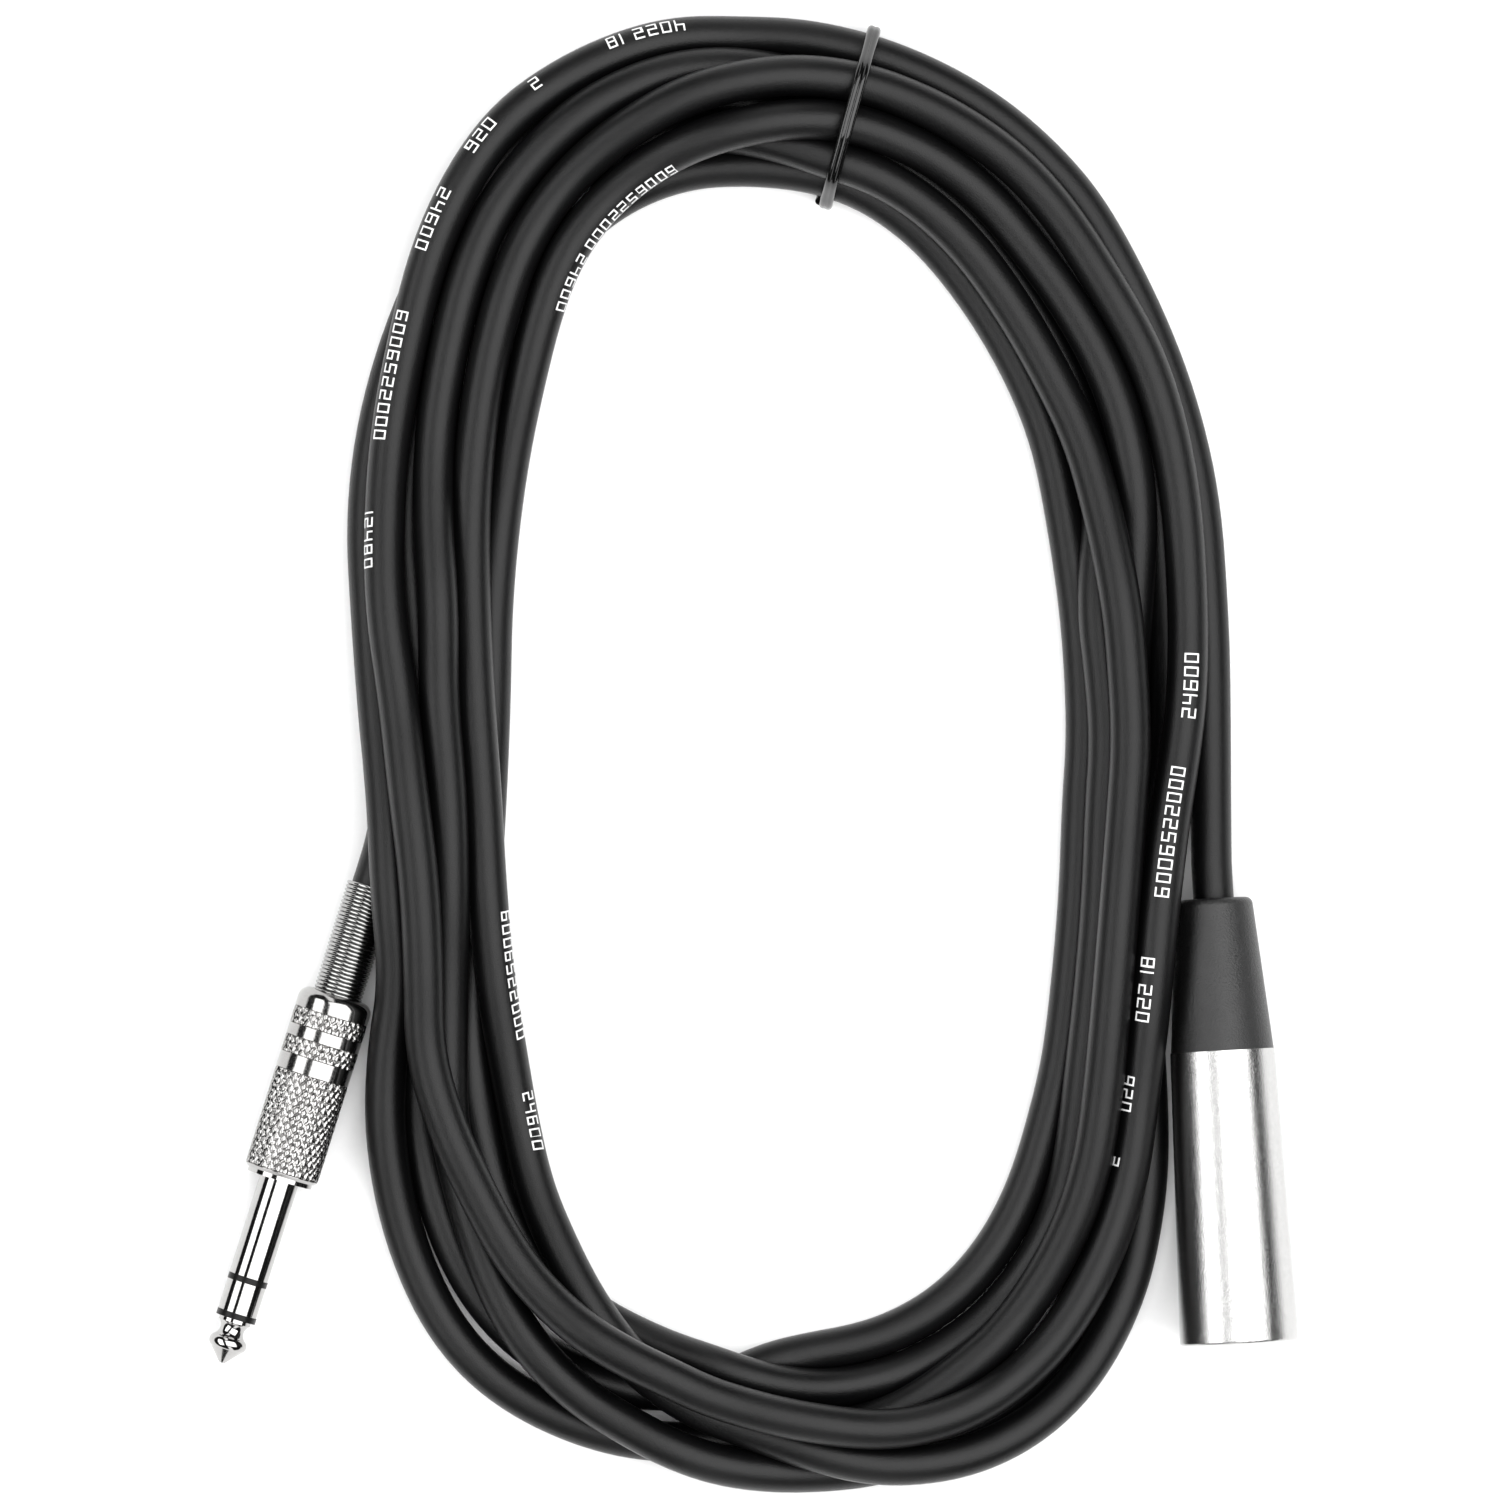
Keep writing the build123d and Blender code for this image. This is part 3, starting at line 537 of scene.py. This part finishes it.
def make_cable():
    coil = [p * MM for p in coil_points()]
    route = [Vector(p) for p in TAIL_XLR] + coil + [Vector(p) for p in reversed(TAIL_TRS)]
    curve = bpy.data.curves.new("cable", "CURVE")
    curve.dimensions = "3D"
    curve.resolution_u = 5
    curve.bevel_depth = 1.0
    curve.bevel_resolution = 8
    curve.use_fill_caps = True
    spline = curve.splines.new("NURBS")
    spline.points.add(len(route) - 1)
    for p, v in zip(spline.points, route):
        p.co = (*v, 1.0)
        p.radius = CABLE_R * MM
    spline.order_u = 3
    spline.use_endpoint_u = True
    return new_object("cable", curve)


def centreline(cable):
    """Points along the cable's middle, in millimetres, read from its curve."""
    curve = cable.data.copy()
    curve.bevel_depth = 0.0
    probe = bpy.data.objects.new("probe", curve)
    mesh = bpy.data.meshes.new_from_object(probe)
    points = [v.co / MM for v in mesh.vertices]
    bpy.data.meshes.remove(mesh)
    bpy.data.objects.remove(probe)
    bpy.data.curves.remove(curve)
    return points


cable = make_cable()
dress(cable, "cable")
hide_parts("cable_coil", "cable_tail_xlr", "cable_tail_trs")
LINE = centreline(cable)

# ---------------------------------------------------------------- the plug's knurled barrel

BARREL_REAR = -30.2
BARREL_RIM_R = 1.8
BARREL_RIM_STEPS = 8
BARREL_HOLE_R = 4.15
BARREL_BORE_R = 5.0
BARREL_WALL = 1.5
BARREL_CHAMFER = 0.5
BARREL_SHARP = math.radians(35)     # edges sharper than this stay crisp
KNURLED = [(-26.7, -24.1), (-22.0, -19.4), (-16.5, -0.7)]
KNURL_STARTS = 28               # diamonds round the barrel
KNURL_PITCH = 1.95              # one diamond along it
KNURL_DEPTH = 0.34
KNURL_FLAT = 0.45               # the part of a diamond's width that is cut away
SIDES_PER_DIAMOND = 8
KNURL_STEP = 0.22
EDGE_LINE = 0.14                # turned line at each end of a knurled band


def knurl_cut(angle, z):
    """Depth of the diamond pattern at that place, from 0 on a diamond's flat to 1 in a groove."""
    turns = angle * KNURL_STARTS / (2 * math.pi)
    cut = 0.0
    for lean in (1, -1):
        place = (turns + lean * z / KNURL_PITCH) % 1.0
        from_groove = abs(place - 0.5) * 2
        cut = max(cut, 1.0 - from_groove / KNURL_FLAT)
    return cut


def barrel_rows():
    """Rings from the hole in the rear wall, over the outside and back up the bore: z, radius, knurled."""
    rows = [(BARREL_REAR + BARREL_WALL, BARREL_HOLE_R, False), (BARREL_REAR, BARREL_HOLE_R, False)]
    for i in range(1, BARREL_RIM_STEPS + 1):
        a = math.radians(90 * i / BARREL_RIM_STEPS)
        z = BARREL_REAR + BARREL_RIM_R * (1 - math.cos(a))
        r = BARREL_R - BARREL_RIM_R * (1 - math.sin(a))
        rows.append((z, r, False))
    for z0, z1 in KNURLED:
        rows += [(z0 - EDGE_LINE, BARREL_R, False), (z0 - EDGE_LINE / 2, BARREL_R - EDGE_LINE, False)]
        count = round((z1 - z0) / KNURL_STEP)
        rows += [(lerp(z0, z1, i / count), BARREL_R, True) for i in range(count + 1)]
        rows += [(z1 + EDGE_LINE / 2, BARREL_R - EDGE_LINE, False), (z1 + EDGE_LINE, BARREL_R, False)]
    rows += [(-BARREL_CHAMFER, BARREL_R, False), (0.0, BARREL_R - BARREL_CHAMFER, False)]
    rows += [(0.0, BARREL_BORE_R, False), (BARREL_REAR + BARREL_WALL, BARREL_BORE_R, False)]
    return rows


def make_barrel():
    rows = barrel_rows()
    sides = KNURL_STARTS * SIDES_PER_DIAMOND
    verts = []
    for z, r, knurled in rows:
        for i in range(sides):
            a = 2 * math.pi * i / sides
            here = r - KNURL_DEPTH * knurl_cut(a, z) if knurled else r
            verts.append(PLUG_FRAME @ Vector((here * math.cos(a), here * math.sin(a), z)))
    faces = []
    for row in range(len(rows)):
        after = (row + 1) % len(rows)
        for i in range(sides):
            j = (i + 1) % sides
            faces.append((row * sides + i, row * sides + j, after * sides + j, after * sides + i))
    barrel = mesh_object("plug_barrel", verts, faces, "trs_barrel")
    barrel.data.set_sharp_from_angle(angle=BARREL_SHARP)
    dress(barrel, "barrel")
    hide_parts("trs_barrel")
    return barrel


# ---------------------------------------------------------------- the plug's strain relief spring

SPRING_WIRE_R = 0.3
SPRING_FROM = -48.6
SPRING_TO = -28.6
SPRING_END = -27.4
SPRING_FLARE_R = 4.7
SPRING_PITCH = 0.64
SPRING_STEPS = 24


def make_spring():
    close = SPRING_R - SPRING_WIRE_R
    flared = SPRING_FLARE_R - SPRING_WIRE_R
    first = SPRING_FROM + SPRING_WIRE_R
    last = SPRING_END - SPRING_WIRE_R
    turns = (last - first) / SPRING_PITCH
    count = int(turns * SPRING_STEPS)
    points = []
    for i in range(count + 1):
        z = lerp(first, last, i / count)
        a = 2 * math.pi * turns * i / count
        r = lerp(close, flared, min(max((z - SPRING_TO) / (last - SPRING_TO), 0.0), 1.0))
        points.append(PLUG_FRAME @ Vector((r * math.cos(a), r * math.sin(a), z)))
    spring = wire_object("plug_spring", points, SPRING_WIRE_R, "trs_spring")
    dress(spring, "spring")
    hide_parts("trs_spring")
    return spring


barrel = make_barrel()
spring = make_spring()

# ---------------------------------------------------------------- the tie

TIE_WIRE_R = 0.7
TIE_WRAPS = 2
TIE_SIDES = 48
TIE_GAP = 0.12
TIE_WIDTH = 1.1 * TIE_WRAPS * TIE_WIRE_R    # along the cable, first wrap to last
TIE_BAND = 8.0                  # stretch of the coil that the tie is drawn round
TIE_SPAN = 50.0
TIE_RIM = 32
TIE_LOW = 0.2                   # its ends meet at one side, a little low


def hull(points):
    """Convex outline of points in a plane, counter-clockwise."""
    points = sorted(points)
    halves = []
    for run in (points, points[::-1]):
        half = []
        for p in run:
            while len(half) > 1:
                (ax, ay), (bx, by) = half[-2], half[-1]
                if (bx - ax) * (p[1] - ay) - (by - ay) * (p[0] - ax) > 0:
                    break
                half.pop()
            half.append(p)
        halves += half[:-1]
    return halves


def even_loop(points, count):
    """count places evenly spaced round a closed outline."""
    ring = points + [points[0]]
    lengths = [0.0]
    for a, b in zip(ring, ring[1:]):
        lengths.append(lengths[-1] + math.dist(a, b))
    found = []
    i = 0
    for k in range(count):
        at = lengths[-1] * k / count
        while lengths[i + 1] < at:
            i += 1
        t = (at - lengths[i]) / (lengths[i + 1] - lengths[i])
        found.append((lerp(ring[i][0], ring[i + 1][0], t), lerp(ring[i][1], ring[i + 1][1], t)))
    return found


def make_tie():
    """Two wraps of coated wire drawn tight round the turns of the coil that pass through the tie."""
    across = Vector((math.sin(TIE_LEAN), math.cos(TIE_LEAN), 0.0))
    along = Vector((math.cos(TIE_LEAN), -math.sin(TIE_LEAN), 0.0))
    centre = Vector((*TIE_CENTRE, 0.0))
    rim = []
    reach = CABLE_R + TIE_WIRE_R + TIE_GAP
    for p in LINE:
        d = p - centre
        if abs(d.dot(along)) < TIE_BAND / 2 and abs(d.dot(across)) < TIE_SPAN / 2:
            for i in range(TIE_RIM):
                a = 2 * math.pi * i / TIE_RIM
                rim.append((d.dot(across) + reach * math.cos(a), p.z + reach * math.sin(a)))
    rim = [(u, max(w, TIE_WIRE_R)) for u, w in rim]
    loop = even_loop(hull(rim), TIE_SIDES)
    start = min(range(TIE_SIDES), key=lambda i: loop[i][0] + TIE_LOW * loop[i][1])
    loop = loop[start:] + loop[:start]
    points = []
    total = TIE_WRAPS * TIE_SIDES
    for i in range(total + 1):
        u, w = loop[i % TIE_SIDES]
        shift = (i / total - 0.5) * TIE_WIDTH
        points.append(centre + across * u + along * shift + Vector((0.0, 0.0, w)))
    tie = wire_object("wire_tie", points, TIE_WIRE_R)
    dress(tie, "tie")
    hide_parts("twist_tie")


make_tie()

# ---------------------------------------------------------------- numbers printed along the jacket

DIGIT_SIZE = (1.25, 2.1)        # along the cable, across it
DIGIT_ADVANCE = 2.15
DIGIT_STROKE = 0.27
STROKE_STEPS = 3                # a stroke's pieces, which follow the jacket's round
INK_PROUD = 0.04
STROKES = {
    "a": ((0, 1), (1, 1)), "b": ((1, 1), (1, 0.5)), "c": ((1, 0.5), (1, 0)), "d": ((0, 0), (1, 0)),
    "e": ((0, 0.5), (0, 0)), "f": ((0, 1), (0, 0.5)), "g": ((0, 0.5), (1, 0.5)),
}
DIGITS = {
    "0": "abcdef", "1": "bc", "2": "abged", "3": "abgcd", "4": "fgbc", "5": "afgcd", "6": "afgedc",
    "7": "abc", "8": "abcdefg", "9": "abcdfg",
}
# Turn, middle of the number in plan, roll from the top of the cable towards the coil's outside, number
NUMBERS = [
    (0, (-18.2, 113.4), 38, "402218"), (0, (-34.0, 105.9), 35, "2"), (0, (-42.2, 98.2), 35, "026"),
    (0, (-51.4, 84.2), 35, "24600"), (0, (-59.0, 59.8), 35, "6006522000"), (0, (-61.8, 35.0), 56, "12480"),
    (1, (69.8, 11.5), 10, "24600"), (0, (66.3, -13.4), 0, "6006522000"), (0, (62.2, -37.8), -22, "02218"),
    (0, (59.3, -53.6), -42, "026"), (0, (56.7, -65.0), -55, "2"),
    (1, (-40.1, -35.2), -58, "6006522000"), (1, (-37.2, -59.2), -45, "24600"),
    (3, (-21.4, 88.6), -55, "6006522000"), (3, (-31.0, 75.0), -55, "24600"),
]


def jacket_point(lengths, at, angle, radius):
    """The place at that length along the cable, that angle round it and that far from its middle."""
    i = min(max(bisect.bisect(lengths, at) - 1, 0), len(LINE) - 2)
    a, b = LINE[i], LINE[i + 1]
    along = (b - a).normalized()
    outward = along.cross(Vector((0.0, 0.0, 1.0))).normalized()
    top = outward.cross(along)
    middle = a + along * (at - lengths[i])
    return middle + (top * math.cos(angle) + outward * math.sin(angle)) * radius


def number_strokes(number, start):
    """The strokes of a number laid flat, x along the cable and y across it: both ends and half the width."""
    for k, digit in enumerate(number):
        for name in DIGITS[digit]:
            a, b = [Vector((start + k * DIGIT_ADVANCE + x * DIGIT_SIZE[0], (y - 0.5) * DIGIT_SIZE[1]))
                    for x, y in STROKES[name]]
            run = (b - a).normalized() * DIGIT_STROKE / 2
            yield a - run, b + run, Vector((-run.y, run.x))


def make_numbers():
    lengths = running_lengths(LINE)
    samples = (len(LINE) - 1) / (len(cable.data.splines[0].points) - 2)     # of LINE at each control point
    verts, faces = [], []
    for turn, place, roll, number in NUMBERS:
        first = int((turn * PER_TURN + len(TAIL_XLR) - 2) * samples)
        last = int(((turn + 1) * PER_TURN + len(TAIL_XLR)) * samples)
        nearest = min(range(first, last), key=lambda i: (LINE[i].xy - Vector(place)).length)
        start = lengths[nearest] - DIGIT_ADVANCE * len(number) / 2
        for a, b, edge in number_strokes(number, start):
            base = len(verts)
            for step in range(STROKE_STEPS + 1):
                p = a + (b - a) * step / STROKE_STEPS
                for corner, radius in ((p - edge, CABLE_R - INK_PROUD), (p + edge, CABLE_R - INK_PROUD),
                                       (p + edge, CABLE_R + INK_PROUD), (p - edge, CABLE_R + INK_PROUD)):
                    angle = math.radians(roll) - corner.y / CABLE_R
                    verts.append(jacket_point(lengths, corner.x, angle, radius))
            for step in range(STROKE_STEPS):
                i = base + 4 * step
                faces += [(i + c, i + (c + 1) % 4, i + 4 + (c + 1) % 4, i + 4 + c) for c in range(4)]
            end = base + 4 * STROKE_STEPS
            faces += [(base + 3, base + 2, base + 1, base), (end, end + 1, end + 2, end + 3)]
    numbers = mesh_object("jacket_numbers", verts, faces, smooth=False)
    numbers.data.materials.append(PRINT_INK)
    return numbers


numbers = make_numbers()

# ---------------------------------------------------------------- camera, floor, lights

VIEW_CENTRE = (-0.00056, 0.00064)   # metres, as are the next two and the lamps' distance
VIEW_WIDTH = 0.240
CAMERA_HEIGHT = 2.4
SENSOR = 36.0
FLOOR_HALF = 1500
LAMP_DISTANCE = 1.3

camera_data = bpy.data.cameras.new("camera")
camera_data.sensor_width = SENSOR
camera_data.lens = SENSOR * CAMERA_HEIGHT / VIEW_WIDTH
camera = bpy.data.objects.new("camera", camera_data)
camera.location = (*VIEW_CENTRE, CAMERA_HEIGHT)
bpy.context.scene.collection.objects.link(camera)
bpy.context.scene.camera = camera

corners = [(x * FLOOR_HALF, y * FLOOR_HALF, 0) for x, y in ((-1, -1), (1, -1), (1, 1), (-1, 1))]
floor = mesh_object("floor", corners, [(0, 1, 2, 3)], body=None)
floor.data.materials.append(finish("floor_paper", grey(0.90), grey(0.94), (0.80, 0.90), mottle=8.0,
                                   grain=900.0, bump=0.02, specular=0.1))


def softbox(name, angle, lean, width, length, power):
    """A soft panel facing the object: angle from straight overhead towards +X, lean towards +Y, degrees."""
    data = bpy.data.lights.new(name, "AREA")
    data.shape = "RECTANGLE"
    data.size = length
    data.size_y = width
    data.energy = power
    lamp = bpy.data.objects.new(name, data)
    a, b = math.radians(angle), math.radians(lean)
    place = Vector((math.sin(a) * math.cos(b), math.sin(b), math.cos(a) * math.cos(b))) * LAMP_DISTANCE
    lamp.location = place
    lamp.rotation_euler = place.to_track_quat("Z", "Y").to_euler()
    bpy.context.scene.collection.objects.link(lamp)


softbox("key_right", 21.5, 0.0, 1.72, 1.8, 39.0)
softbox("fill_left", -46.0, 0.0, 0.74, 1.8, 16.5)
softbox("top_back", 0.0, 66.0, 1.2, 0.4, 3.0)
softbox("front", 0.0, -66.0, 1.2, 0.4, 3.0)

world = bpy.data.worlds.new("studio")
world.use_nodes = True
world.node_tree.nodes["Background"].inputs["Color"].default_value = (1.0, 1.0, 1.0, 1.0)
world.node_tree.nodes["Background"].inputs["Strength"].default_value = 0.02
bpy.context.scene.world = world
bpy.context.scene.view_settings.view_transform = "Standard"
